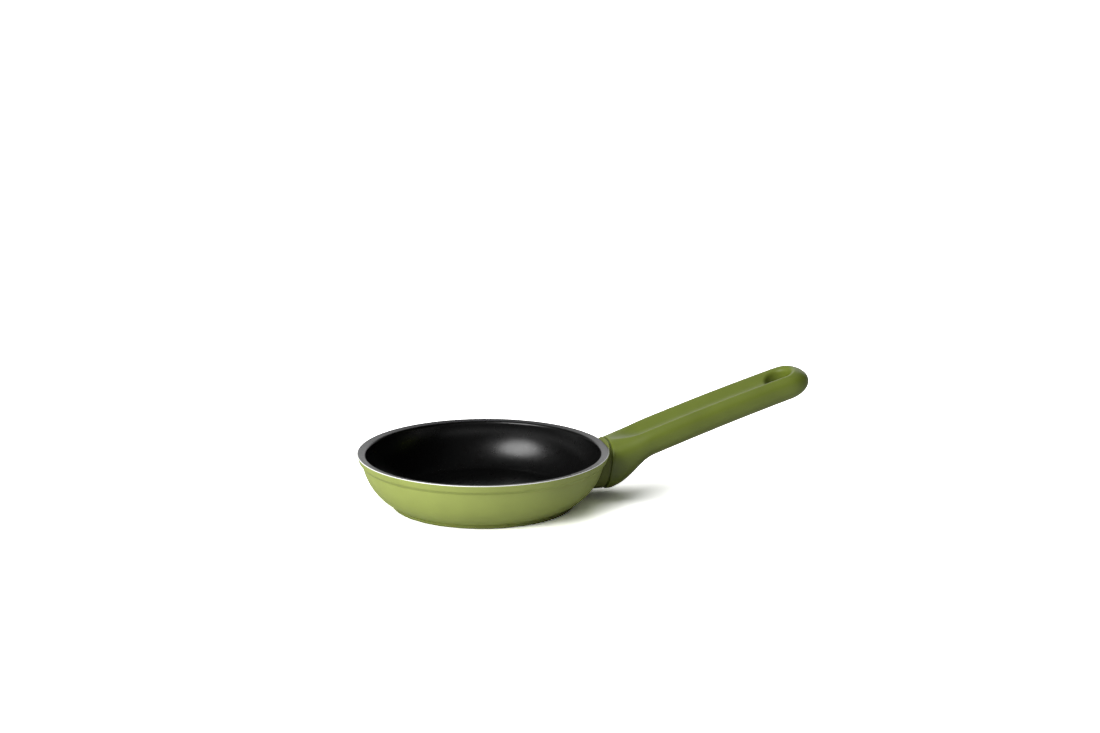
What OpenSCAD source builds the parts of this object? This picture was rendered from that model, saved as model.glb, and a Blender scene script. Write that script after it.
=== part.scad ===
// Small frying pan: a forged aluminium body with a perforated steel disc in its base,
// and a moulded grip that one screw holds against a boss on the wall.
// Millimetres. The origin is the centre of the base's underside, +X runs out along
// the grip and +Z is up.

/* [Pan] */
// Outer diameter over the rim
pan_d = 160; // [154:1:170]
// Height from the underside to the top of the rim
pan_h = 34; // [32:0.5:38]
// From the rim's outer edge inwards to the foot that the pan stands on
foot_in = 21; // [19:0.5:24]
// Height of the foot's step
foot_h = 2.2; // [1.8:0.1:3]
// How far the rim band flares out beyond the neck under it
rim_flare = 3.5; // [3:0.1:5]
// Height of the flared rim band
band_h = 7.4; // [6:0.1:9]
// Height of the soft hollow under the rim band
cove_h = 3.6; // [2.5:0.1:4.5]
// Radius of the wall's arc, seen in section
wall_r = 34.3; // [33:0.1:38]
// Thickness of the wall
wall_t = 2.6; // [2:0.1:3.2]
// Thickness of the floor
floor_t = 5; // [4:0.1:6]
// Inner radius between the floor and the wall
floor_round = 12; // [8:0.5:14]
// Radius of the turned outer edge of the rim
edge_r = 1; // [0.6:0.1:1.4]
// How far the pouring lip falls from its outer to its inner edge
lip_drop = 0.55; // [0.3:0.05:1]

/* [Induction disc] */
// From the edge of the foot inwards to the disc
disc_in = 10; // [7:0.5:13]
// Thickness of the disc
disc_t = 0.8; // [0.5:0.1:1.2]
// Diameter of each hole in the disc
disc_hole_d = 5; // [4:0.1:6]
// From the edge of the disc inwards to the outer ring of holes
disc_edge = 7; // [6:0.5:9]
// Rings of holes
disc_rings = 4; // [3:1:4]
// Gap round the disc, and round each peg in its holes
disc_gap = 0.1; // [0.05:0.05:0.2]

/* [Grip] */
// Angle at which the grip rises from the table
grip_rise = 18.5; // [14:0.5:22]
// From the rim's outer edge inwards to the start of the grip's line
grip_in = 1; // [0:0.1:2]
// From the top of the rim down to the start of the grip's line
grip_down = 7.6; // [6:0.2:9]
// Length of the grip's line
grip_len = 143.4; // [136:0.2:156]
// Width of the grip at the throat
grip_w0 = 36; // [33:0.5:38]
// Width of the grip at its round end
grip_w1 = 34; // [32:0.2:37]
// Thickness of the grip at the throat
grip_h0 = 20.4; // [19:0.2:22]
// Thickness of the grip at its round end
grip_h1 = 19.3; // [18:0.1:21]
// How far the grip's line is arched upwards in its middle
arch_h = 1.2; // [0:0.1:2]
// Length of the round end, seen from above
end_plan = 16.6; // [15:0.2:20]
// Length of the round end, seen from the side
end_side = 17; // [15:0.2:20]
// How far the heel hangs below the grip
heel_drop = 9.7; // [7:0.1:11]
// Where the heel is deepest, along the grip's line
heel_at = -3.3; // [-5:0.1:1]
// Length over which the heel rises into the grip
heel_run = 32.2; // [28:0.2:38]

/* [Channel] */
// Depth of the channel along the top of the grip
dish_t = 5.6; // [4:0.1:6.4]
// Width of the channel
dish_w = 26.6; // [24:0.2:28]
// Where the channel reaches its full depth, along the grip's line
dish_at = 30; // [27:0.5:34]
// Length of the channel's soft start
dish_run = 24; // [20:0.5:26]
// Length of the channel's round end
dish_end = 9.5; // [8:0.1:12]
// From the end of the channel to the tip of the grip
dish_tip = 6.5; // [5.5:0.1:8]

/* [Hanging hole] */
// Diameter of the hole
hang_d = 17.6; // [15:0.2:19]
// From the centre of the hole to the tip of the grip
hang_at = 18.4; // [17:0.1:20]
// Chamfer round the hole on the underside
hang_bevel = 1; // [0.6:0.1:1.4]

/* [Clamp joint] */
// Tilt of the clamping screw below the horizontal
joint_tilt = 6.9; // [5:0.1:9]
// From the rim's outer edge inwards to the seam, at the height of the screw
seam_in = 1.3; // [0.6:0.1:1.8]
// From the top of the rim down to the screw's line at the seam
joint_down = 14.5; // [13.5:0.1:15.5]
// Width of the boss
boss_w = 21; // [18:0.5:23]
// Height of the boss
boss_h = 13; // [11:0.5:14]
// Reach of the boss past the seam, into the grip
boss_reach = 5.4; // [4.5:0.1:6]
// Play of the boss in its socket, on each side
boss_play = 0.2; // [0.1:0.05:0.3]
// Gap between the flame guard and the pan's wall
guard_gap = 0.3; // [0.2:0.05:0.4]
// Thickness of the flame guard's walls
guard_t = 1.4; // [1:0.1:1.8]
// Width of the shadow gap at the seam
seam_w = 0.9; // [0.6:0.1:1.2]
// Depth of the shadow gap
seam_t = 1.2; // [0.8:0.1:1.6]
// Thickness of the grip's web that the screw clamps
web_t = 4; // [3.5:0.1:4.5]
// Diameter of the screw's recess in the underside of the grip
recess_d = 11; // [10.6:0.1:11.4]

/* [Fasteners] */
// Diameter of the screw's thread
screw_d = 5; // [4.8:0.1:5.2]
// Length of the screw under its head
screw_len = 14; // [13:0.5:14.5]
// Diameter of the screw's head
head_d = 9; // [8.4:0.1:9.4]
// Height of the screw's head
head_t = 3.2; // [2.8:0.1:3.6]
// Width of each slot of the cross recess
slot_w = 1.1; // [0.9:0.1:1.3]
// Depth of the cross recess
slot_t = 1.9; // [1.5:0.1:2.2]
// Outer diameter of the flat washer
washer_d = 10; // [9.6:0.1:10.2]
// Thickness of the flat washer
washer_t = 1; // [0.8:0.1:1.2]
// Outer diameter of the spring washer
spring_d = 8.8; // [8.4:0.1:9]
// Thickness of the spring washer
spring_t = 1.2; // [1:0.1:1.4]
// Outer diameter of the sleeve in the web
sleeve_d = 8; // [7.6:0.1:8.6]
// Outer diameter of the threaded bush in the boss
bush_d = 7.4; // [7:0.1:8]

/* [Hidden] */
$fn = 96;

pan_r = pan_d / 2;
foot_r = pan_r - foot_in;
foot_round = foot_h * 0.85;
neck_r = pan_r - rim_flare;
neck_z = pan_h - band_h;
over = edge_r * 2;              // overrun of every cut past the face that it opens
grip_x = pan_r - grip_in;
grip_z = pan_h - grip_down;
joint_x = pan_r - seam_in;
joint_z = pan_h - joint_down;

// The wall's arc runs from the top of the foot to the neck.
arc_a = [foot_r - foot_h * 0.35, foot_h];
arc_b = [neck_r, neck_z];
arc_m = (arc_a + arc_b) / 2;
arc_d = arc_b - arc_a;
arc_h = norm(arc_d) / 2;
arc_c = arc_m + [-arc_d[1], arc_d[0]] / norm(arc_d) * sqrt(wall_r * wall_r - arc_h * arc_h);
in_r = wall_r - wall_t;         // the inner face is concentric with the outer one
lip_r = arc_c[0] + in_r;

// The fillet between the floor and the inner wall touches both.
fil_z = floor_t + floor_round;
fil_r = arc_c[0] + sqrt(pow(in_r - floor_round, 2) - pow(fil_z - arc_c[1], 2));
fil_c = [fil_r, fil_z];
fil_u = (fil_c - arc_c) / norm(fil_c - arc_c);
fil_b = arc_c + fil_u * in_r;

disc_r = foot_r - disc_in;
disc_pitch = (disc_r - disc_edge) / disc_rings;
hole_r = disc_hole_d / 2;
shoulder = boss_reach + web_t;  // from the seam to the face under the washers
stack = washer_t + spring_t;
bore_d = screw_d * 1.1;
boss_l = boss_h * 1.6;          // the boss and the bush run from its face to the wall
joint_dir = grip_rise + joint_tilt;

// A half-turn of cosine from 0 to 1.
function ease(u) = (1 - cos(180 * min(max(u, 0), 1))) / 2;

// Section of the pan without its hollow, for the body and for what fits against it.
module pan_outline(grow) {
    translate([foot_r - foot_round, foot_round]) circle(foot_round + grow);
    square([foot_r - foot_round, foot_h]);
    translate([0, foot_round]) square([foot_r + grow, foot_h - foot_round]);
    intersection() {
        translate(arc_c) circle(wall_r + grow);
        translate([0, foot_h]) square([pan_r * 2, neck_z - foot_h]);
    }
    translate([0, foot_round]) square([arc_c[0], neck_z - foot_round]);
    rim_band(grow);
}

// The flared band: a soft hollow above the neck, then a steep face up to the turned edge.
module rim_band(grow) {
    low_r = pan_r - edge_r;
    steps = 8;
    cove = [for (i = [0:steps]) [neck_r + grow + (low_r - neck_r) * ease(i / steps),
                                 neck_z + cove_h * i / steps]];
    polygon(concat([[arc_c[0], neck_z - foot_h]], [[neck_r + grow, neck_z - foot_h]], cove,
                   [[pan_r + grow, pan_h - edge_r], [pan_r - edge_r, pan_h + grow],
                    [lip_r, pan_h - lip_drop], [arc_c[0], pan_h - lip_drop]]));
    translate([pan_r - edge_r, pan_h - edge_r]) circle(edge_r + grow);
}

// Section of the space inside the bowl.
module bowl_hollow() {
    difference() {
        intersection() {
            translate(arc_c) circle(in_r);
            translate([arc_c[0], floor_t]) square([in_r + over, pan_h]);
        }
        polygon([[fil_c[0], floor_t - over], fil_c, fil_b + fil_u * over,
                 [fil_b[0] + over, floor_t - over]]);
    }
    translate(fil_c) circle(floor_round);
    translate([0, floor_t]) square([fil_c[0], floor_round]);
    translate([0, floor_t + floor_round]) square([arc_c[0], pan_h]);
    translate([arc_c[0] - over, arc_c[1]]) square([in_r + over, pan_h]);
}

// Every hole of the disc: ring k carries 6 k holes.
module disc_pattern() {
    for (k = [1:disc_rings])
        for (i = [0:6 * k - 1])
            rotate(360 * (i + k / 2) / (6 * k)) translate([disc_pitch * k, 0]) children();
}

// Places children on the clamping screw's line, +Z pointing out of the seam.
module at_joint(out) {
    translate([joint_x, 0, joint_z])
        rotate([0, 90 + joint_tilt, 0])
            translate([0, 0, out]) children();
}

// Half-width of the grip at s, measured along the grip's line.
function grip_hw(s) =
    (grip_w0 + (grip_w1 - grip_w0) * s / grip_len) / 2
    * pow(1 - pow(min(max((s - grip_len + end_plan) / end_plan, 0), 1), 2.3), 1 / 2.3);
// Half-thickness, before the heel and the channel.
function grip_ht(s) =
    (grip_h0 + (grip_h1 - grip_h0) * s / grip_len) / 2
    * sqrt(1 - pow(min(max((s - grip_len + end_side) / end_side, 0), 1), 2));
function grip_arc(s) = -arch_h * pow(2 * s / grip_len - 1, 2);
function heel(s) =
    heel_drop * (s < heel_at ? 1 - pow((heel_at - s) / heel_run, 2) * 6
                             : 1 - ease(pow((s - heel_at) / heel_run, 1.1)));

// Depth of the channel at s and y: a round trough, with soft edges and two round ends.
dish_far = grip_len - dish_tip - dish_end;
function dish_off(s) =
    s < dish_at ? (dish_at - s) / dish_run : s > dish_far ? (s - dish_far) / dish_end : 0;
function dish(s, y) =
    dish_t * pow(max(0, 1 - pow(2 * y / dish_w, 2) - pow(dish_off(s), 2)), 1.5);

// Where the seam's plane crosses the height v over the grip's line.
seam_k = ((grip_x - joint_x) * cos(joint_tilt) - (grip_z - joint_z) * sin(joint_tilt)) / cos(joint_dir);
function seam_s(v) = v * tan(joint_dir) - seam_k;

// One section of the grip. Its top and bottom points lean with the seam at the throat
// and stand square to the grip's line from the middle on.
function lean(s) = 1 - ease(s / (heel_run * 1.6));
function section(s, inset, n) =
    let (top0 = grip_ht(s) + grip_arc(s),
         bot0 = -grip_ht(s) + grip_arc(s),
         st = s + seam_s(grip_h0 / 2 - arch_h) * lean(s),
         sb = s + seam_s(-grip_h0 / 2 - arch_h - heel_drop) * lean(s),
         vt = top0,
         vb = bot0 - heel(sb),
         mid = [(st + sb) / 2, (vt + vb) / 2],
         up = [(st - sb) / 2, (vt - vb) / 2] * (1 - inset / norm([st - sb, vt - vb]) * 2),
         w = max(grip_hw(s) - inset, grip_hw(s) / 2))
    [for (i = [0:n - 1])
        let (a = 360 * i / n,
             c = cos(a), q = sin(a),
             m = q > 0 ? 2 / 2.65 : 2 / 2.5,
             y = w * sign(c) * pow(abs(c), m),
             f = sign(q) * pow(abs(q), m),
             sv = mid + up * f,
             d = q > 0 ? dish(sv[0], y) : 0)
        at_grip(sv[0], y, sv[1] - d)];
function at_grip(s, y, v) =
    [grip_x + s * cos(grip_rise) - v * sin(grip_rise), y,
     grip_z + s * sin(grip_rise) + v * cos(grip_rise)];

// A closed skin over rings of n points each.
module skin(rings, n) {
    m = len(rings);
    polyhedron(
        points = [for (r = rings) each r],
        faces = concat(
            [for (j = [0:m - 2], i = [0:n - 1])
                [j * n + i, (j + 1) * n + i, j * n + (i + 1) % n]],
            [for (j = [0:m - 2], i = [0:n - 1])
                [j * n + (i + 1) % n, (j + 1) * n + i, (j + 1) * n + (i + 1) % n]],
            [[for (i = [0:n - 1]) i]],
            [[for (i = [0:n - 1]) (m - 1) * n + n - 1 - i]]));
}

module pan_body() {
    color("#94a356")
    difference() {
        rotate_extrude() difference() {
            pan_outline(0);
            bowl_hollow();
        }
        difference() {
            translate([0, 0, -over]) cylinder(r = disc_r + disc_gap, h = over + disc_t);
            disc_pattern() translate([0, 0, -over])
                cylinder(r = hole_r - disc_gap, h = over * 2 + disc_t, $fn = 24);
        }
    }
}

module induction_disc() {
    color("#b9bbb8")
    difference() {
        cylinder(r = disc_r, h = disc_t);
        disc_pattern() translate([0, 0, -over]) cylinder(r = hole_r, h = over * 2 + disc_t, $fn = 24);
    }
}

module boss_block(grow, length) {
    flat = boss_w - boss_h;
    cube([boss_h + 2 * grow, flat, length], center = true);
    for (e = [-1, 1])
        translate([0, e * flat / 2, 0]) cylinder(r = boss_h / 2 + grow, h = length, center = true);
}

module handle_boss() {
    color("#c8cac6")
    difference() {
        at_joint(boss_reach - boss_l / 2) boss_block(0, boss_l);
        rotate_extrude() pan_outline(0);
        cylinder_at_joint(boss_reach - boss_l - over, bush_d, boss_l + over * 2);
    }
}

module threaded_bush() {
    color("#a9acab")
    difference() {
        cylinder_at_joint(boss_reach - boss_l, bush_d, boss_l);
        rotate_extrude() pan_outline(0);
        cylinder_at_joint(boss_reach - boss_l - over, screw_d, boss_l + over * 2);
    }
}

// The grip's outer skin: a small inset neck behind the seam, then the throat, the
// straight run, the end of the channel and the round tip.
module grip_skin(n) {
    gap = seam_w / cos(joint_dir);
    tip = max(end_side, end_plan);
    throat = [for (i = [0:15]) gap + (heel_run * 1.5 - gap) * i / 15];
    run_a = heel_run * 1.5;
    run_b = dish_far - dish_end;
    run = [for (i = [1:6]) run_a + (run_b - run_a) * i / 6];
    turn = [for (i = [1:6]) run_b + (grip_len - tip - run_b) * i / 6];
    last = [for (i = [1:10]) grip_len - tip + tip * sin(88.6 * i / 10)];
    skin(concat([section(0, seam_t, n), section(gap, seam_t, n)],
                [for (s = concat(throat, run, turn, last)) section(s, 0, n)]), n);
}

// Places children in the grip's own frame: +X along its line, +Z out of the channel.
module in_grip(s) {
    translate([grip_x, 0, grip_z])
        rotate([0, -grip_rise, 0])
            translate([s, 0, 0]) children();
}

// The round hanging hole, bevelled below.
module hang_cut() {
    low = grip_arc(grip_len - hang_at) - grip_ht(grip_len - hang_at);
    in_grip(grip_len - hang_at) {
        translate([0, 0, -grip_h0]) cylinder(r = hang_d / 2, h = grip_h0 * 2);
        translate([0, 0, low - hang_bevel])
            cylinder(r1 = hang_d / 2 + hang_bevel * 2, r2 = hang_d / 2, h = hang_bevel * 2);
    }
}

module handle_grip() {
    color("#66752e")
    difference() {
        grip_skin(48);
        hang_cut();
        at_joint(boss_reach + boss_play - pan_r / 4) boss_block(boss_play, pan_r / 2);
        cylinder_at_joint(0, sleeve_d, shoulder + over);
        cylinder_at_joint(shoulder, recess_d, grip_len / 3);
    }
}

module cylinder_at_joint(from, d, length) {
    at_joint(from) cylinder(r = d / 2, h = length);
}

// The collar's skin: the section of the throat, drawn level from the seam towards the pan.
module guard_skin(back, front, inset, n) {
    ring = section(0, inset, n);
    skin([[for (p = ring) p - [back, 0, 0]], [for (p = ring) p - [front, 0, 0]]], n);
}

module flame_guard() {
    color("#5a6a28")
    difference() {
        guard_skin(boss_h * 1.4, 0, 0, 48);
        guard_skin(boss_h * 2.4, guard_t, guard_t, 48);
        rotate_extrude() union() {
            pan_outline(guard_gap);
            translate([arc_c[0], neck_z]) square([pan_r + guard_gap - arc_c[0], pan_h]);
        }
        at_joint(boss_reach - pan_r / 4) boss_block(boss_play, pan_r / 2);
    }
}

module clamp_sleeve() {
    color("#b4b7b5")
    at_joint(boss_reach)
    difference() {
        cylinder(r = sleeve_d / 2, h = web_t);
        translate([0, 0, -over]) cylinder(r = bore_d / 2, h = web_t + 2 * over);
    }
}

module flat_washer() {
    color("#c2c4c2")
    at_joint(shoulder)
    difference() {
        cylinder(r = washer_d / 2, h = washer_t);
        translate([0, 0, -over]) cylinder(r = bore_d / 2, h = washer_t + 2 * over);
    }
}

module spring_washer() {
    color("#8d9090")
    at_joint(shoulder + washer_t)
    difference() {
        cylinder(r = spring_d / 2, h = spring_t);
        translate([0, 0, -over]) cylinder(r = bore_d / 2, h = spring_t + 2 * over);
        translate([0, -spring_t / 4, -over]) cube([spring_d, spring_t / 2, spring_t + 2 * over]);
    }
}

module handle_screw() {
    color("#cfd1ce")
    at_joint(shoulder + stack)
    difference() {
        union() {
            translate([0, 0, -screw_len]) cylinder(r = screw_d / 2, h = screw_len);
            cylinder(r = head_d / 2, h = head_t * 0.6);
            translate([0, 0, head_t * 0.6])
                cylinder(r1 = head_d / 2, r2 = head_d * 0.36, h = head_t * 0.4);
        }
        for (a = [0, 90])
            rotate(a) translate([-head_d * 0.27, -slot_w / 2, head_t - slot_t])
                cube([head_d * 0.54, slot_w, slot_t + over]);
    }
}

pan_body();
induction_disc();
handle_boss();
threaded_bush();
flame_guard();
handle_grip();
clamp_sleeve();
flat_washer();
spring_washer();
handle_screw();
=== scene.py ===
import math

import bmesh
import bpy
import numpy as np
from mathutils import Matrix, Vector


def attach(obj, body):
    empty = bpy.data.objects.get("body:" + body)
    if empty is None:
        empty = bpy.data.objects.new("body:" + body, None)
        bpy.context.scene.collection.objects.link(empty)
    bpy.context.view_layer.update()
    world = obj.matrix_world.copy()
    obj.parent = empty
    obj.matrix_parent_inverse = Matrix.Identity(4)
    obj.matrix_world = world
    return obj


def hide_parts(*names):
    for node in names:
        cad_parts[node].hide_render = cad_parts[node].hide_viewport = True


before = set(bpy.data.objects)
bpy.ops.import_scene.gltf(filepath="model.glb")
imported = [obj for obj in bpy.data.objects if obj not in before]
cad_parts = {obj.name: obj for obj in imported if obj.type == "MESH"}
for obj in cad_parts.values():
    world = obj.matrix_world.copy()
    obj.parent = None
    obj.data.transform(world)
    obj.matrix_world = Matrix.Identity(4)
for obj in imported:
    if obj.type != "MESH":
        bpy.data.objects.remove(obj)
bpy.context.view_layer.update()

# Looks of the frying pan: fine visual pieces, procedural materials, camera and studio.
# Lengths are in millimetres, as in the part's source, and become metres where a mesh is
# made. The frame is the CAD's: the origin is the centre of the base's underside, +X runs
# out along the grip and +Z is up.

MM = 0.001            # metres

# Sizes of the pan, as in the source apart from the lip's fall
PAN_R = 80.0          # outside of the rim
PAN_H = 34.0          # base to rim
FOOT_R = 59.0         # outside of the foot
FOOT_H = 2.2          # height of the foot
FOOT_ROUND = 0.85     # rounding of the foot's lower edge, in foot heights
FOOT_TUCK = 0.35      # how far inside the foot's side the wall starts, in foot heights
RIM_FLARE = 3.5       # how far the rim stands out over the neck
BAND_H = 7.4          # rim to neck
COVE_H = 3.6          # height of the sweep from the neck to the rim's band
WALL_R = 34.3         # radius of the wall's outer arc
WALL_T = 2.6          # thickness of the wall
FLOOR_T = 5.0         # thickness of the floor
FLOOR_ROUND = 12.0    # rounding between floor and wall inside
EDGE_R = 1.0          # rounding of the rim's outer edge
LIP_DROP = 0.95       # fall of the coated lip; 0.55 in the source, but the photo hides the front lip

# Sizes of the disc in the base, as in the source
DISC_R = 49.0
DISC_T = 0.8
DISC_GAP = 0.1        # play round the disc and in its holes
HOLE_R = 2.5
PITCH = 10.5          # from one ring of holes to the next
RINGS = 4
MORE_HOLES = 6        # how many holes a ring has more than the one inside it

# Sizes of the grip, as in the source
RISE = math.radians(18.5)
GRIP_X = PAN_R - 1.0  # start of the grip's own line
GRIP_Z = PAN_H - 7.6
GRIP_LEN = 143.4
GRIP_W0 = 36.0        # width at the throat
GRIP_W1 = 34.0        # width at the end
GRIP_T0 = 20.4        # thickness at the throat
GRIP_T1 = 19.3        # thickness at the end
GRIP_ARCH = 1.2       # how far both ends bend down from the middle
END_PLAN = 16.6       # length of the end's rounding seen from above
END_SIDE = 17.0       # and seen from the side
HEEL_DROP = 9.7       # depth of the heel under the throat
HEEL_AT = -3.3        # place of its lowest point
HEEL_RUN = 32.2       # length over which it fades out
DISH_T = 5.6          # depth of the thumb channel
DISH_W = 26.6         # its width
DISH_AT = 30.0        # where it has its full depth
DISH_RUN = 24.0       # length over which it sinks in
DISH_END = 9.5        # length over which it rises again at the end
DISH_TIP = 6.5        # what is left of the grip after it
HANG_R = 8.8          # hanging hole
HANG_S = GRIP_LEN - 18.4

# Sizes of the joint between pan and grip, as in the source
TILT = math.radians(6.9)
JOINT_X = PAN_R - 1.3
JOINT_Z = PAN_H - 14.5
BOSS_W = 21.0
BOSS_H = 13.0
BOSS_REACH = 5.4      # how far the boss stands into the grip
BOSS_PLAY = 0.2
GUARD_GAP = 0.3       # room between collar and wall
GUARD_T = 1.4         # thickness of the collar
SEAM_W = 0.9          # width of the seam between collar and grip
SEAM_T = 1.2          # depth of the seam
WEB_T = 4.0           # thickness of the web that the screw clamps
RECESS_D = 11.0       # recess of the screw's head
SLEEVE_D = 8.0
SHOULDER = BOSS_REACH + WEB_T

# Fine details that only the visual pieces have
BEAD_R = 1.6          # rounding between the bowl's wall and the lip
BARE_FROM = 62.0      # degrees on the rim's edge between which the metal is bare
BARE_TO = 27.0
EDGE_END = -14.0      # degrees at which the rim's edge runs into the band
FOOT_TOP = ((0.42, -0.02), (0.15, 0.08), (0.02, 0.25))  # foot's upper edge, in and down from its corner
FOOT_BARE = -60.0     # degrees on the foot's lower edge from which the metal is bare
SEAT_BREAK_W = 0.25   # broken edge of the disc's seat
SEAT_BREAK_H = 0.2
PEG_BREAK = 0.12      # broken edge of a peg
HOLE_EDGE = 1.7       # rounding of the hanging hole's edges, where the source has a bevel
GRIP_EDGE = 0.8       # rounding of the grip's edge at the seam
GUARD_EDGE = 0.7      # rounding of the collar's edge at the seam
HOLLOW_MIN = 0.05     # least depth of the hollow in the collar

# Forms of the grip, as in the source
TOP_POWER = 2.65      # fullness of a section's upper half
UNDER_POWER = 2.5     # fullness of its lower half
PLAN_POWER = 2.3      # fullness of the end seen from above
DISH_POWER = 1.5      # how softly the channel runs out
HEEL_POWER = 1.1      # how late the heel fades
HEEL_BACK = 6.0       # how fast it rises again towards the wall
LEAN_RUN = 1.6        # length over which sections lose the seam's lean, in heel runs

# What is cut out of grip and collar
BORE_START = 0.5      # inside the boss's socket, and as far past the shoulder at the other end
RECESS_RUN = GRIP_LEN / 3
BOSS_BACK = PAN_R / 4

# How finely the pieces are cut up
PAN_SIDES = 288
PEG_SIDES = 24
BAR_SIDES = 64
GRIP_HALF = 40        # points from the middle of a section to its edge
GRIP_ROWS = 96        # sections between the seam and the end
HOLE_ROWS = 26        # rows between the hanging hole's edge and the outline
CROWDING = 2.2        # how much closer together points lie at an edge
END_FROM = 106.0      # from here on the rows run round the hanging hole
LIP_SHARES = (0.5, 0.65, 0.8, 0.92)
COLLAR_SHARES = (0.15, 0.35, 0.55, 0.75, 0.9, 1.0)
SMOOTH_BELOW = 38.0   # degrees; steeper edges stay sharp
WELD = 0.004          # points closer than this become one
BAR_WELD = 0.0001
TINY = 1e-6           # taken as nothing


# Mesh helpers
def shade(mesh):
    """Smooth shading with sharp edges where faces meet steeply."""
    mesh.polygons.foreach_set("use_smooth", [True] * len(mesh.polygons))
    mesh.set_sharp_from_angle(angle=math.radians(SMOOTH_BELOW))
    mesh.update()


def make_object(name, verts, faces, materials, face_slots=None, weld=0.0):
    """An object from millimetre points; weld joins points closer than that."""
    mesh = bpy.data.meshes.new(name)
    mesh.from_pydata([tuple(MM * c for c in v) for v in verts], [], faces)
    for material in materials:
        mesh.materials.append(material)
    if face_slots is not None:
        mesh.polygons.foreach_set("material_index", face_slots)
    if weld:
        bm = bmesh.new()
        bm.from_mesh(mesh)
        bmesh.ops.remove_doubles(bm, verts=bm.verts, dist=weld * MM)
        bmesh.ops.recalc_face_normals(bm, faces=bm.faces)
        bm.to_mesh(mesh)
        bm.free()
    shade(mesh)
    obj = bpy.data.objects.new(name, mesh)
    bpy.context.scene.collection.objects.link(obj)
    return obj


def ease(share):
    """Soft step from 0 to 1."""
    return (1 - math.cos(math.pi * min(max(share, 0.0), 1.0))) / 2


def shares(steps):
    """Even shares from 0 to 1."""
    return [i / steps for i in range(steps + 1)]


def full_turn(sides, shift=0.0):
    """Angles of a circle's points; shift turns them by a share of one side."""
    return [2 * math.pi * (i + shift) / sides for i in range(sides)]


def quarter_turn(steps):
    """Angles from 0 to 90 degrees."""
    return [math.radians(90 * t) for t in shares(steps)]


def arc(centre, radius, start, end, steps):
    """Points of an arc in the (r, z) plane, with its angles in degrees."""
    turns = [math.radians(start + (end - start) * t) for t in shares(steps)]
    return [(centre[0] + radius * math.cos(t), centre[1] + radius * math.sin(t)) for t in turns]


def angle_from(centre, point):
    return math.degrees(math.atan2(point[1] - centre[1], point[0] - centre[0]))


def stitch(rings, close_first, close_last):
    """Faces over rings of equal length; the ends are closed with one face each on demand."""
    n = len(rings[0])
    verts = [tuple(float(c) for c in p) for ring in rings for p in ring]
    faces = []
    for j in range(len(rings) - 1):
        for i in range(n):
            k = (i + 1) % n
            faces.append((j * n + i, j * n + k, (j + 1) * n + k, (j + 1) * n + i))
    if close_first:
        faces.append(tuple(range(n - 1, -1, -1)))
    if close_last:
        faces.append(tuple((len(rings) - 1) * n + i for i in range(n)))
    return verts, faces


def revolve(profile, slots):
    """Closed solid of revolution from a section that starts and ends on the axis."""
    verts, rows = [], []
    for r, z in profile:
        ring = [(r * math.cos(t), r * math.sin(t), z) for t in full_turn(PAN_SIDES)]
        if r < TINY:
            ring = [(0.0, 0.0, z)]
        rows.append(range(len(verts), len(verts) + len(ring)))
        verts += ring
    faces, face_slots = [], []
    for a, b, slot in zip(rows, rows[1:], slots):
        for i in range(PAN_SIDES):
            k = (i + 1) % PAN_SIDES
            if len(a) == 1:
                faces.append((a[0], b[i], b[k]))
            elif len(b) == 1:
                faces.append((a[k], a[i], b[0]))
            else:
                faces.append((a[i], b[i], b[k], a[k]))
            face_slots.append(slot)
    return verts, faces, face_slots


def carve(obj, cutters):
    """Cuts the cutters out of the object and keeps the resulting mesh."""
    for cutter in cutters:
        modifier = obj.modifiers.new(cutter.name, "BOOLEAN")
        modifier.operation = "DIFFERENCE"
        modifier.solver = "EXACT"
        modifier.object = cutter
    bpy.context.view_layer.update()
    graph = bpy.context.evaluated_depsgraph_get()
    mesh = bpy.data.meshes.new_from_object(obj.evaluated_get(graph))
    obj.modifiers.clear()
    whole = obj.data
    obj.data = mesh
    bpy.data.meshes.remove(whole)
    for cutter in cutters:
        bar = cutter.data
        bpy.data.objects.remove(cutter)
        bpy.data.meshes.remove(bar)
    shade(mesh)


# Node helpers
NOISE_SPAN = (0.3, 0.7)   # where nearly all of a noise's values lie


class Tree:
    """A node tree with short calls for what the materials and the studio need."""

    def __init__(self, owner):
        owner.use_nodes = True
        self.nodes = owner.node_tree.nodes
        self.link = owner.node_tree.links.new

    def fill(self, node, **inputs):
        """Gives a node's inputs values or outputs; their names have _ for a space."""
        for name, value in inputs.items():
            socket = node.inputs[name.replace("_", " ")]
            if isinstance(value, bpy.types.NodeSocket):
                self.link(value, socket)
            else:
                socket.default_value = value

    def remap(self, value, span, low, high, curve="LINEAR"):
        """Low below the span, high above it, and on the curve between them inside."""
        node = self.nodes.new("ShaderNodeMapRange")
        node.interpolation_type = curve
        self.fill(node, Value=value, From_Min=span[0], From_Max=span[1], To_Min=low, To_Max=high)
        return node.outputs["Result"]

    def fade(self, value, span, low, high):
        return self.remap(value, span, low, high, curve="SMOOTHSTEP")

    def combine(self, operation, first, second):
        node = self.nodes.new("ShaderNodeMath")
        node.operation = operation
        self.link(first, node.inputs[0])
        self.link(second, node.inputs[1])
        return node.outputs["Value"]

    def rays(self, *kinds):
        """1 for rays of any of these kinds, 0 for the rest."""
        path = self.nodes.new("ShaderNodeLightPath")
        out = path.outputs[kinds[0]]
        for kind in kinds[1:]:
            out = self.combine("MAXIMUM", out, path.outputs[kind])
        return out


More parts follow.
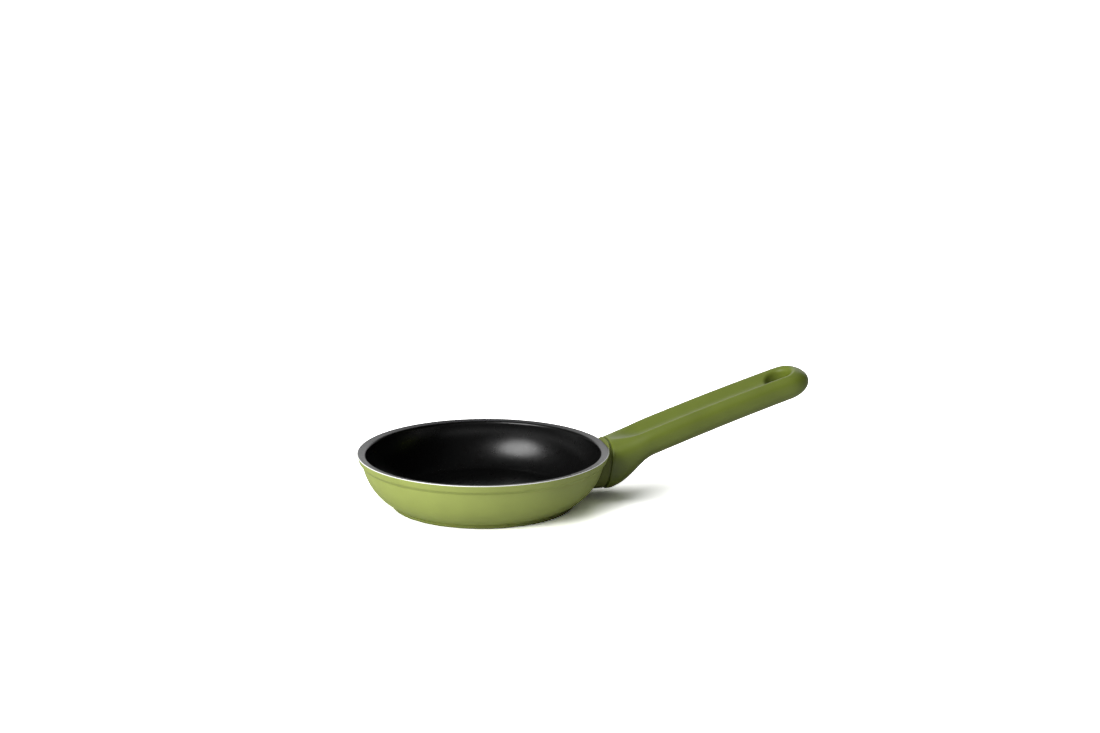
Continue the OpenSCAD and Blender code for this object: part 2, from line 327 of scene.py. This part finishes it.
class Material(Tree):
    """A material whose textures lie in the object's space and feed one Principled BSDF."""

    def __init__(self, name, **inputs):
        self.material = bpy.data.materials.new(name)
        super().__init__(self.material)
        self.bsdf = self.nodes["Principled BSDF"]
        self.coords = self.nodes.new("ShaderNodeTexCoord").outputs["Object"]
        self.fill(self.bsdf, **inputs)

    def noise(self, scale, detail=2.0):
        node = self.nodes.new("ShaderNodeTexNoise")
        self.fill(node, Vector=self.coords, Scale=scale, Detail=detail)
        return node.outputs["Fac"]

    def rings(self, scale, distortion):
        """Fine rings round the Z axis, as a lathe leaves them."""
        node = self.nodes.new("ShaderNodeTexWave")
        node.wave_type = "RINGS"
        node.rings_direction = "Z"
        self.fill(node, Vector=self.coords, Scale=scale, Distortion=distortion,
                  Detail=2.0, Detail_Scale=2.0)
        return node.outputs["Fac"]

    def mix(self, factor, first, second):
        """Mix of two colours, each a tuple or an output."""
        node = self.nodes.new("ShaderNodeMix")
        node.data_type = "RGBA"
        self.fill(node, Factor=factor)
        for name, value in (("A", first), ("B", second)):
            socket = [s for s in node.inputs if s.name == name and s.type == "RGBA"][0]
            if isinstance(value, tuple):
                socket.default_value = (*value, 1.0)
            else:
                self.link(value, socket)
        return [s for s in node.outputs if s.type == "RGBA"][0]

    def clouds(self, first, second, scale, detail):
        """Soft patches of two colours."""
        share = self.remap(self.noise(scale, detail), NOISE_SPAN, 0.0, 1.0)
        return self.mix(share, first, second)

    def specks(self, under, over, scale, span, most):
        """Fine specks of one colour over another; most is how strong the densest are."""
        share = self.remap(self.noise(scale, detail=1.0), span, 0.0, most)
        return self.mix(share, under, over)

    def colour(self, out):
        self.fill(self.bsdf, Base_Color=out)

    def roughness(self, low, high, scale, detail):
        """Roughness that wanders between low and high."""
        self.fill(self.bsdf, Roughness=self.remap(self.noise(scale, detail), NOISE_SPAN, low, high))

    def bump(self, *heights):
        """Chained bumps from pairs of an output and its height in millimetres."""
        normal = None
        for out, height in heights:
            node = self.nodes.new("ShaderNodeBump")
            self.fill(node, Strength=1.0, Distance=height * MM, Height=out)
            if normal:
                self.fill(node, Normal=normal)
            normal = node.outputs["Normal"]
        self.fill(self.bsdf, Normal=normal)


def scaled(tone, share):
    return tuple(c * share for c in tone)


# Materials
GREEN = (0.262, 0.306, 0.076)
GRIP_GREEN = (0.108, 0.139, 0.016)
COAT_DARK = (0.0012, 0.0012, 0.0012)
COAT_GLINT = (0.004, 0.004, 0.004)


def enamel(name, tone, rough, gloss):
    """Satin stove enamel: a little orange peel, faint clouding and fine specks."""
    skin = Material(name, Specular_IOR_Level=gloss)
    cloud = skin.clouds(scaled(tone, 0.93), scaled(tone, 1.06), scale=38.0, detail=3.0)
    skin.colour(skin.specks(cloud, scaled(tone, 0.6), scale=3300.0, span=(0.56, 0.74), most=0.16))
    skin.roughness(rough - 0.04, rough + 0.05, scale=170.0, detail=3.0)
    skin.bump((skin.noise(scale=780.0), 0.018), (skin.noise(scale=5200.0, detail=1.0), 0.003))
    return skin.material


def turned(name, tone, rough, scale, depth, metallic=1.0):
    """Turned metal: concentric tool lines of this depth with a little uneven wear."""
    skin = Material(name, Metallic=metallic)
    skin.colour(skin.clouds(scaled(tone, 0.9), tone, scale=120.0, detail=4.0))
    skin.roughness(rough - 0.05, rough + 0.08, scale=900.0, detail=3.0)
    skin.bump((skin.rings(scale, distortion=0.4), depth), (skin.noise(scale=2600.0), 0.002))
    return skin.material


def plated(name, tone, spot, rough):
    """Cast, plated or blued metal: a fine pressed texture and a faint uneven tint."""
    skin = Material(name, Metallic=1.0)
    skin.colour(skin.clouds(tone, spot, scale=260.0, detail=3.0))
    skin.roughness(rough - 0.06, rough + 0.08, scale=700.0, detail=3.0)
    skin.bump((skin.noise(scale=2100.0, detail=3.0), 0.006))
    return skin.material


def non_stick():
    """Black non-stick coat: satin, with the fine rings of the turned metal under it."""
    skin = Material("non_stick", IOR=1.8, Specular_IOR_Level=0.5)
    glint = skin.remap(skin.noise(scale=2600.0), (0.5, 0.8), 0.0, 1.0)
    skin.colour(skin.mix(glint, COAT_DARK, COAT_GLINT))
    skin.roughness(0.27, 0.31, scale=240.0, detail=3.0)
    skin.bump((skin.noise(scale=1500.0), 0.004), (skin.rings(scale=640.0, distortion=0.6), 0.0016))
    return skin.material


def soft_touch(tone):
    """Soft-touch skin over moulded plastic: fine grain, a faint bloom and handling marks."""
    skin = Material("soft_touch", Specular_IOR_Level=0.6, Sheen_Weight=0.02, Sheen_Roughness=0.4)
    cloud = skin.clouds(scaled(tone, 0.92), scaled(tone, 1.07), scale=55.0, detail=4.0)
    skin.colour(skin.specks(cloud, scaled(tone, 0.55), scale=4200.0, span=(0.55, 0.75), most=0.2))
    skin.roughness(0.38, 0.46, scale=150.0, detail=4.0)
    skin.bump((skin.noise(scale=2300.0), 0.010), (skin.noise(scale=420.0), 0.010))
    return skin.material


body_green = enamel("body_enamel", GREEN, rough=0.42, gloss=0.4)
# The foot's band gets the body enamel darkened: painted shade for its downward-facing face, not a
# different enamel
foot_painted_shade = enamel("foot_enamel_painted_shade", scaled(GREEN, 0.55), rough=0.5, gloss=0.2)
# The collar is the body's enamel darkened and dulled: painted shadow of the pan falling on it
guard_painted_shade = enamel("guard_enamel_painted_shade", scaled(GREEN, 0.45), rough=0.5, gloss=0.15)
bare_rim = turned("bare_rim", (0.97, 0.97, 0.96), rough=0.38, scale=1400.0, depth=0.0006,
                  metallic=0.25)
bare_base = turned("bare_base", (0.66, 0.66, 0.64), rough=0.36, scale=900.0, depth=0.012)
disc_steel = turned("disc_steel", (0.58, 0.57, 0.55), rough=0.30, scale=1700.0, depth=0.006)
boss_cast = plated("boss_cast", (0.62, 0.62, 0.60), (0.48, 0.48, 0.47), rough=0.5)
zinc = plated("zinc_plate", (0.66, 0.68, 0.70), (0.56, 0.57, 0.56), rough=0.3)
spring_blue = plated("spring_blue", (0.20, 0.21, 0.24), (0.13, 0.12, 0.12), rough=0.34)
black_coat = non_stick()
grip_skin = soft_touch(GRIP_GREEN)

# Section of the pan: the outside is one arc from the foot to the neck, the inside one arc
# about the same centre, which a fillet joins to the floor
neck_r = PAN_R - RIM_FLARE
neck_z = PAN_H - BAND_H
edge_r = PAN_R - EDGE_R
wall_low = np.array([FOOT_R - FOOT_H * FOOT_TUCK, FOOT_H])
wall_high = np.array([neck_r, neck_z])
chord = wall_high - wall_low
half_chord = np.linalg.norm(chord) / 2
across = np.array([-chord[1], chord[0]]) / np.linalg.norm(chord)
wall_c = (wall_low + wall_high) / 2 + across * math.sqrt(WALL_R ** 2 - half_chord ** 2)
in_r = WALL_R - WALL_T
lip_r = wall_c[0] + in_r
fillet_z = FLOOR_T + FLOOR_ROUND
fillet_out = math.sqrt((in_r - FLOOR_ROUND) ** 2 - (fillet_z - wall_c[1]) ** 2)
fillet_c = np.array([wall_c[0] + fillet_out, fillet_z])
seat_r = DISC_R + DISC_GAP

# Material slots of the pan; the last is the foot's band, whose darker enamel is painted shade
COAT, BARE, ENAMEL, BASE, SHADED_FOOT = range(5)


def outer_radius(z):
    """Radius of the pan's outside at height z."""
    cove_top = neck_z + COVE_H
    if z > PAN_H - EDGE_R:
        return PAN_R
    if z > cove_top:
        return edge_r + EDGE_R * (z - cove_top) / (PAN_H - EDGE_R - cove_top)
    if z > neck_z:
        return neck_r + (edge_r - neck_r) * ease((z - neck_z) / COVE_H)
    return wall_c[0] + math.sqrt(max(WALL_R ** 2 - (z - wall_c[1]) ** 2, 0.0))


def bowl_stretches():
    """Inside of the pan, from the axis over floor, fillet, wall, bead and lip to the rim."""
    lip_slope = math.degrees(math.atan2(LIP_DROP, edge_r - lip_r))
    slope = math.radians(lip_slope)
    bead_z = PAN_H - LIP_DROP + (BEAD_R * math.sin(slope) - BEAD_R) / math.cos(slope)
    bead_angle = -math.degrees(math.asin((wall_c[1] - bead_z) / in_r))
    fillet_angle = angle_from(wall_c, fillet_c)
    rim_c = (edge_r, PAN_H - EDGE_R)
    return [
        (COAT, [(fillet_c[0] * t, FLOOR_T) for t in shares(10)[:-1]]),
        (COAT, arc(fillet_c, FLOOR_ROUND, -90, fillet_angle, steps=8)),
        (COAT, arc(wall_c, in_r, fillet_angle, bead_angle, steps=40)[1:-1]),
        (COAT, arc((lip_r + BEAD_R, bead_z), BEAD_R, 180, 90 + lip_slope, steps=12)),
        (COAT, [(lip_r + (edge_r - lip_r) * t, PAN_H - LIP_DROP * (1 - t)) for t in LIP_SHARES]),
        (COAT, arc(rim_c, EDGE_R, 90 + lip_slope, BARE_FROM, steps=3)),
        (BARE, arc(rim_c, EDGE_R, BARE_FROM, BARE_TO, steps=8)[1:]),
        (ENAMEL, arc(rim_c, EDGE_R, BARE_TO, EDGE_END, steps=3)[1:]),
    ]


def outside_stretches():
    """Outside of the pan, from the rim's band down the wall to the foot."""
    cove = shares(10)[:0:-1]
    high, low = angle_from(wall_c, wall_high), angle_from(wall_c, wall_low)
    foot_round = FOOT_H * FOOT_ROUND
    foot_c = (FOOT_R - foot_round, foot_round)
    foot_top = [(FOOT_R - inward, FOOT_H - down) for inward, down in FOOT_TOP]
    return [
        (ENAMEL, [(neck_r + (edge_r - neck_r) * ease(t), neck_z + COVE_H * t) for t in cove]),
        (ENAMEL, arc(wall_c, WALL_R, high, low, steps=44)),
        (ENAMEL, foot_top[:-1]),
        # From here on the foot's band takes the darkened enamel, which is painted shade
        (SHADED_FOOT, foot_top[-1:]),
        (SHADED_FOOT, arc(foot_c, foot_round, 0, FOOT_BARE, steps=6)),
        (BASE, arc(foot_c, foot_round, FOOT_BARE, -90, steps=3)[1:]),
    ]


def base_stretches():
    """Underside of the pan, from the foot over the disc's seat to the axis."""
    return [
        (BASE, [(seat_r + SEAT_BREAK_W, 0.0), (seat_r, SEAT_BREAK_H)]),
        (BASE, [(seat_r * (1 - t), DISC_T) for t in shares(8)]),
    ]


def pan_profile():
    """Section of the pan, and the material slot of each stretch between its points."""
    profile, slots = [], []
    for slot, points in bowl_stretches() + outside_stretches() + base_stretches():
        for r, z in points:
            profile.append((float(r), float(z)))
            slots.append(slot)
    return profile, slots[1:]


def peg_rings(x, y):
    """Rings of one of the body's pegs, which fill the disc's holes; its edge is broken."""
    peg_r = HOLE_R - DISC_GAP
    rows = ((peg_r - PEG_BREAK, 0.0), (peg_r, PEG_BREAK), (peg_r, DISC_T))
    return [[(x + r * math.cos(t), y + r * math.sin(t), z) for t in full_turn(PEG_SIDES)]
            for r, z in rows]


def build_pan():
    """The forged body, with its pegs in rings round the middle of the base."""
    profile, stretch_slots = pan_profile()
    verts, faces, slots = revolve(profile, stretch_slots)
    for ring in range(1, RINGS + 1):
        for place in full_turn(MORE_HOLES * ring, shift=ring / 2):
            x, y = PITCH * ring * math.cos(place), PITCH * ring * math.sin(place)
            peg_verts, peg_faces = stitch(peg_rings(x, y), True, True)
            first = len(verts)
            verts += peg_verts
            faces += [tuple(first + v for v in face) for face in peg_faces]
            slots += [BASE] * len(peg_faces)
    # The foot's band gets the darkened enamel, painted shade
    materials = [black_coat, bare_rim, body_green, bare_base, foot_painted_shade]
    return make_object("pan_shell", verts, faces, materials, slots)


pan_shell = build_pan()
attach(pan_shell, "root")
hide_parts("pan_body")

# Lines of the grip: s runs along it, y across and v up from its middle
joint_turn = RISE + TILT
seam_back = ((GRIP_X - JOINT_X) * math.cos(TILT) - (GRIP_Z - JOINT_Z) * math.sin(TILT)) \
    / math.cos(joint_turn)
dish_far = GRIP_LEN - DISH_TIP - DISH_END

# Shares of the half-width at which a section is sampled, closer together at the edges
half_samples = np.array([1 - (1 - t) ** CROWDING for t in shares(GRIP_HALF)])
SAMPLES = np.concatenate([-half_samples[::-1], half_samples[1:]])


def clamp01(value):
    return np.clip(value, 0.0, 1.0)


def half_width(s):
    straight = (GRIP_W0 + (GRIP_W1 - GRIP_W0) * s / GRIP_LEN) / 2
    past = clamp01((s - GRIP_LEN + END_PLAN) / END_PLAN)
    return straight * (1 - past ** PLAN_POWER) ** (1 / PLAN_POWER)


def half_height(s):
    straight = (GRIP_T0 + (GRIP_T1 - GRIP_T0) * s / GRIP_LEN) / 2
    return straight * np.sqrt(1 - clamp01((s - GRIP_LEN + END_SIDE) / END_SIDE) ** 2)


def bend(s):
    """Height of the grip's middle over its own line."""
    return -GRIP_ARCH * (2 * s / GRIP_LEN - 1) ** 2


def heel(s):
    """How far the heel hangs below the grip's underside."""
    if s < HEEL_AT:
        return HEEL_DROP * (1 - ((HEEL_AT - s) / HEEL_RUN) ** 2 * HEEL_BACK)
    return HEEL_DROP * (1 - ease(((s - HEEL_AT) / HEEL_RUN) ** HEEL_POWER))


def dish(s, y):
    """Depth of the thumb channel."""
    off = np.where(s < DISH_AT, (DISH_AT - s) / DISH_RUN,
                   np.where(s > dish_far, (s - dish_far) / DISH_END, 0.0))
    return DISH_T * np.maximum(0.0, 1 - (2 * y / DISH_W) ** 2 - off ** 2) ** DISH_POWER


def seam_s(v):
    """Where the seam crosses height v."""
    return v * math.tan(joint_turn) - seam_back


def side_form(share, power):
    """Height of a section's edge, as a share of its half-height, over a share of its width."""
    return np.maximum(0.0, 1 - np.abs(share) ** power) ** (1 / power)


def at_grip(s, y, v):
    """Points of the frame from lengths along, across and up from the grip's line."""
    return np.stack([GRIP_X + s * math.cos(RISE) - v * math.sin(RISE), y + 0 * s,
                     GRIP_Z + s * math.sin(RISE) + v * math.cos(RISE)], axis=-1)


def section(s, inset):
    """One closed ring round the grip: over the top from -y to +y, and back underneath."""
    top = half_height(s) + bend(s)
    lean = 1 - ease(s / (HEEL_RUN * LEAN_RUN))
    top_s = s + seam_s(GRIP_T0 / 2 - GRIP_ARCH) * lean
    low_s = s + seam_s(-GRIP_T0 / 2 - GRIP_ARCH - HEEL_DROP) * lean
    low = -half_height(s) + bend(s) - heel(low_s)
    squeeze = 1 - inset / math.hypot(top_s - low_s, top - low) * 2
    half_s, half_v = (top_s - low_s) / 2 * squeeze, (top - low) / 2 * squeeze
    width = max(half_width(s) - inset, half_width(s) / 2)
    over, under = side_form(SAMPLES, TOP_POWER), -side_form(SAMPLES, UNDER_POWER)
    share = np.concatenate([SAMPLES, SAMPLES[-2:0:-1]])
    form = np.concatenate([over, under[-2:0:-1]])
    along = (top_s + low_s) / 2 + half_s * form
    y = width * share
    v = (top + low) / 2 + half_v * form
    return at_grip(along, y, v - np.where(form > 0, dish(along, y), 0.0))


def rounding(edge):
    """Steps over a rounded edge, as pairs of how far along and how far inset."""
    return [(edge * (1 - math.cos(t)), edge * (1 - math.sin(t))) for t in quarter_turn(steps=5)]


def grip_outline(start):
    """Plan of the grip's end, from -y at start, round the tip, to +y at start."""
    straight = GRIP_LEN - END_PLAN
    side = [start + (straight - start) * t for t in shares(12)[1:]]
    tip = [straight + END_PLAN * math.sin(t) ** (2 / PLAN_POWER)
           for t in quarter_turn(steps=30)[1:]]
    half = [(s, -float(half_width(s))) for s in side + tip]
    half[-1] = (GRIP_LEN, 0.0)
    return half + [(s, -y) for s, y in half[-2::-1]]


def end_rows(reach):
    """Distances from the hanging hole's middle: over its rounded edge, then out to the reach."""
    rim = HANG_R + HOLE_EDGE
    rows = [np.full(len(reach), HANG_R + HOLE_EDGE * (1 - math.cos(t)))
            for t in quarter_turn(steps=7)]
    rows += [rim + (reach - rim) * (1 - (1 - t) ** CROWDING) for t in shares(HOLE_ROWS)[1:]]
    return rows


def end_sheet(start, sign):
    """Top (sign 1) or underside (-1) of the grip's end as rows from the hole to the outline."""
    border = [(start, float(half_width(start)) * t) for t in SAMPLES][::-1] + grip_outline(start)
    ray = np.array(border) - np.array([HANG_S, 0.0])
    reach = np.linalg.norm(ray, axis=1)
    ray = ray / reach[:, None]
    power = TOP_POWER if sign > 0 else UNDER_POWER
    sheet = []
    for r in end_rows(reach):
        s = HANG_S + ray[:, 0] * r
        y = ray[:, 1] * r
        width = half_width(s)
        share = np.divide(np.abs(y), width, out=np.ones_like(y), where=width > TINY)
        height = half_height(s) * side_form(clamp01(share), power)
        inner = clamp01((HANG_R + HOLE_EDGE - r) / HOLE_EDGE)
        v = bend(s) + sign * (height - HOLE_EDGE * (1 - np.sqrt(1 - inner ** 2)))
        if sign > 0:
            v = v - dish(s, y)
        sheet.append(at_grip(s, y, v))
    return sheet


def bar_cutter(name, start, radius, length, spread=0.0):
    """A round bar on the clamping screw's line; spread moves its two sides apart."""
    ring = []
    for turn in full_turn(BAR_SIDES, shift=0.5):
        y = radius * math.cos(turn) + (spread if math.cos(turn) > 0 else -spread)
        ring.append((radius * math.sin(turn), y))
    axis = Vector((math.cos(TILT), 0, -math.sin(TILT)))
    lift = Vector((math.sin(TILT), 0, math.cos(TILT)))
    origin = Vector((JOINT_X, 0, JOINT_Z))
    rings = [[origin + axis * d + lift * u + Vector((0, y, 0)) for u, y in ring]
             for d in (start, start + length)]
    verts, faces = stitch(rings, True, True)
    return make_object(name, verts, faces, [grip_skin], weld=BAR_WELD)


def boss_cutter(name, reach):
    """Room for the boss, from well inside the wall out to its reach."""
    return bar_cutter(name, -BOSS_BACK, BOSS_H / 2 + BOSS_PLAY, BOSS_BACK + reach,
                      spread=(BOSS_W - BOSS_H) / 2)


def grip_rings():
    """Sections of the grip from the bottom of the seam to where its end starts."""
    gap = SEAM_W / math.cos(joint_turn)
    first = gap + GRIP_EDGE
    rings = [section(0.0, SEAM_T), section(gap, SEAM_T)]
    rings += [section(gap + along, inset) for along, inset in rounding(GRIP_EDGE)]
    rings += [section(first + (END_FROM - first) * t, 0.0) for t in shares(GRIP_ROWS)[1:]]
    return rings


def build_grip():
    """The moulded grip: a lofted body, its end with the hanging hole, and the bores."""
    verts, faces = stitch(grip_rings(), True, False)
    top, under = end_sheet(END_FROM, 1), end_sheet(END_FROM, -1)
    hole_wall = [top[0] * (1 - t) + under[0] * t for t in shares(5)]
    for sheet, flip in ((top, False), (under, True), (hole_wall, True)):
        more, patches = stitch(sheet, False, False)
        first = len(verts)
        verts += more
        faces += [tuple(first + v for v in (p[::-1] if flip else p)) for p in patches]
    grip = make_object("grip_shell", verts, faces, [grip_skin], weld=WELD)
    carve(grip, [
        bar_cutter("cut_recess", SHOULDER, RECESS_D / 2, RECESS_RUN),
        bar_cutter("cut_bore", BORE_START, SLEEVE_D / 2, SHOULDER),
        boss_cutter("cut_socket", BOSS_REACH + BOSS_PLAY),
    ])
    return grip


grip_shell = build_grip()
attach(grip_shell, "root")
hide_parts("handle_grip")


# The collar between wall and grip
def wall_x(ring):
    """X at which each of the ring's points just clears the pan's wall."""
    radii = [outer_radius(z) + GUARD_GAP for z in ring[:, 2]]
    return np.array([math.sqrt(max(r * r - y * y, 0.0)) for r, y in zip(radii, ring[:, 1])])


def moved_to(ring, x):
    return np.stack([x, ring[:, 1], ring[:, 2]], axis=-1)


def moved_back(ring, length):
    return ring - np.array([length, 0, 0])


def build_collar():
    """The flame guard: the throat's section drawn level to the wall, hollow, soft edged."""
    rings = [moved_back(section(0.0, inset), back) for back, inset in rounding(GUARD_EDGE)]
    front = rings[-1]
    front_x = front[:, 0]
    back_x = np.minimum(wall_x(front), front_x)
    rings += [moved_to(front, front_x * (1 - t) + back_x * t) for t in COLLAR_SHARES]
    inner = section(0.0, GUARD_T)
    bottom = moved_back(inner, GUARD_T)
    mouth_x = np.minimum(wall_x(inner), bottom[:, 0] - HOLLOW_MIN)
    rings += [moved_to(inner, mouth_x), bottom]
    verts, faces = stitch(rings, True, True)
    # The collar's enamel is the body green darkened as painted shadow
    collar = make_object("collar_shell", verts, faces, [guard_painted_shade], weld=WELD)
    carve(collar, [boss_cutter("cut_slot", BOSS_REACH)])
    return collar


collar_shell = build_collar()
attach(collar_shell, "root")
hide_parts("flame_guard")

# The CAD's own small pieces
FINISHES = {"induction_disc": disc_steel, "handle_boss": boss_cast, "threaded_bush": zinc,
            "clamp_sleeve": zinc, "flat_washer": zinc, "spring_washer": spring_blue,
            "handle_screw": zinc}
for name, finish in FINISHES.items():
    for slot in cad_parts[name].material_slots:
        slot.material = finish

# Camera, fitted to the ellipses of rim and base in the photo
CAMERA_AT = (-0.31383, -1.43362, 0.44251)
CAMERA_TURN = (76.444, 0.0, -14.0)
CAMERA_LENS = 78.55
CAMERA_SENSOR = 36

scene = bpy.context.scene
camera_data = bpy.data.cameras.new("photo_camera")
camera_data.lens = CAMERA_LENS
camera_data.sensor_width = CAMERA_SENSOR
camera = bpy.data.objects.new("photo_camera", camera_data)
scene.collection.objects.link(camera)
camera.location = CAMERA_AT
camera.rotation_euler = [math.radians(turn) for turn in CAMERA_TURN]
scene.camera = camera
scene.view_settings.view_transform = "Standard"

# What gloss shows of the studio. Each pair says where a shape comes or goes, as the least
# and the most of a direction's height, of its part along +X or of its part along the view
HORIZON = 0.44                    # strengths
BACKDROP = 0.92
CEILING = 0.024
VIEW_WAY = (0.242, 0.970, 0.0)    # where the photo's camera looks, seen from above
HORIZON_TOP = (0.08, 0.24)        # height over which the horizon turns into the ceiling
HORIZON_SIDE = (0.20, 0.60)       # part along +X over which it fades,
HORIZON_SIDE_LEFT = 0.02          # and what is left of it then
HORIZON_VIEW = (0.48, 0.74)       # part along the view over which it fades,
HORIZON_VIEW_LEFT = 0.1           # and what is left of it then
BACKDROP_VIEW = (0.66, 0.84)      # part along the view over which the backdrop comes
BACKDROP_TOP = (0.46, 0.70)       # height over which it goes
BACKDROP_FOOT = (0.02, 0.14)      # height over which it comes out of the dark at the floor
BACKDROP_FOOT_LEFT = 0.1          # and what is left of it there

# Studio
WHITE = (1.0, 1.0, 1.0, 1.0)
SEEN_RAYS = ("Is Camera Ray", "Is Glossy Ray", "Is Transmission Ray")
AMBIENT = 0.09                    # the world's light on the pan
FLOOR_SEEN = 2.4                  # the floor's colour for the camera,
FLOOR_GLOSS = 0.3                 # for gloss,
FLOOR_BOUNCE = 0.85               # and for the light it throws back on the pan
FLOOR_SIDES = 64
FLOOR_REACH = 9.0                 # metres
SUN_FAR = 3.0                     # metres; a sun shines alike from anywhere
SUNS = [
    # name, azimuth and elevation of where it stands, strength, angular size, seen in gloss
    ("softbox", -147.0, 41.0, 1.2, 34.0, True),
    ("left", -172.0, 13.0, 1.8, 50.0, False),
    ("front", -147.0, 12.0, 2.6, 40.0, False),
    ("top", 85.0, 66.0, 1.4, 60.0, False),
]


def studio_shapes(sky):
    """What gloss shows: a pale horizon, a white backdrop behind the pan and a dim ceiling."""
    way = sky.nodes.new("ShaderNodeTexCoord").outputs["Generated"]
    split = sky.nodes.new("ShaderNodeSeparateXYZ")
    sky.fill(split, Vector=way)
    side, up = split.outputs["X"], split.outputs["Z"]
    facing = sky.nodes.new("ShaderNodeVectorMath")
    facing.operation = "DOT_PRODUCT"
    facing.inputs[1].default_value = VIEW_WAY
    sky.link(way, facing.inputs[0])
    ahead = facing.outputs["Value"]

    horizon = sky.combine("MULTIPLY", sky.fade(up, HORIZON_TOP, HORIZON, CEILING),
                          sky.fade(side, HORIZON_SIDE, 1.0, HORIZON_SIDE_LEFT))
    horizon = sky.combine("MULTIPLY", horizon,
                          sky.fade(ahead, HORIZON_VIEW, 1.0, HORIZON_VIEW_LEFT))
    backdrop = sky.combine("MULTIPLY", sky.fade(up, BACKDROP_TOP, BACKDROP, 0.0),
                           sky.fade(ahead, BACKDROP_VIEW, 0.0, 1.0))
    backdrop = sky.combine("MULTIPLY", backdrop,
                           sky.fade(up, BACKDROP_FOOT, BACKDROP_FOOT_LEFT, 1.0))
    return sky.combine("MAXIMUM", horizon, backdrop)


def build_world():
    """Dim even light on the pan; plain white for the camera, and the studio's shapes in gloss."""
    world = bpy.data.worlds.new("studio")
    scene.world = world
    sky = Tree(world)
    ambient = sky.nodes["Background"]
    sky.fill(ambient, Color=WHITE, Strength=AMBIENT)
    seen = sky.nodes.new("ShaderNodeBackground")
    strength = sky.combine("MAXIMUM", studio_shapes(sky), sky.rays("Is Camera Ray"))
    sky.fill(seen, Color=WHITE, Strength=strength)
    blend = sky.nodes.new("ShaderNodeMixShader")
    sky.link(sky.rays(*SEEN_RAYS), blend.inputs[0])
    sky.link(ambient.outputs[0], blend.inputs[1])
    sky.link(seen.outputs[0], blend.inputs[2])
    sky.link(blend.outputs[0], sky.nodes["World Output"].inputs["Surface"])


def floor_material():
    """Matt floor that is white to the camera and keeps the pan's shadow."""
    material = bpy.data.materials.new("studio_floor")
    ground = Tree(material)
    bounce_or_gloss = ground.remap(ground.rays(*SEEN_RAYS), (0.0, 1.0), FLOOR_BOUNCE, FLOOR_GLOSS)
    tone = ground.remap(ground.rays("Is Camera Ray"), (0.0, 1.0), bounce_or_gloss, FLOOR_SEEN)
    ground.fill(ground.nodes["Principled BSDF"], Base_Color=tone, Roughness=1.0,
                Specular_IOR_Level=0.0)
    return material


def build_floor():
    """A wide round floor under the pan."""
    edge = [(FLOOR_REACH * math.cos(t), FLOOR_REACH * math.sin(t), 0.0)
            for t in full_turn(FLOOR_SIDES)]
    mesh = bpy.data.meshes.new("studio_floor")
    mesh.from_pydata(edge, [], [tuple(range(FLOOR_SIDES))])
    mesh.materials.append(floor_material())
    floor = bpy.data.objects.new("studio_floor", mesh)
    scene.collection.objects.link(floor)
    return floor


def build_suns():
    """Wide soft suns, of which gloss shows only the softbox."""
    for name, azimuth, elevation, power, size, glossy in SUNS:
        lamp = bpy.data.lights.new(name, "SUN")
        lamp.energy = power
        lamp.angle = math.radians(size)
        sun = bpy.data.objects.new(name, lamp)
        scene.collection.objects.link(sun)
        sun.visible_glossy = glossy
        a, e = math.radians(azimuth), math.radians(elevation)
        towards = Vector((math.cos(e) * math.cos(a), math.cos(e) * math.sin(a), math.sin(e)))
        sun.location = towards * SUN_FAR
        sun.rotation_euler = towards.to_track_quat("Z", "Y").to_euler()


build_world()
floor = build_floor()
build_suns()
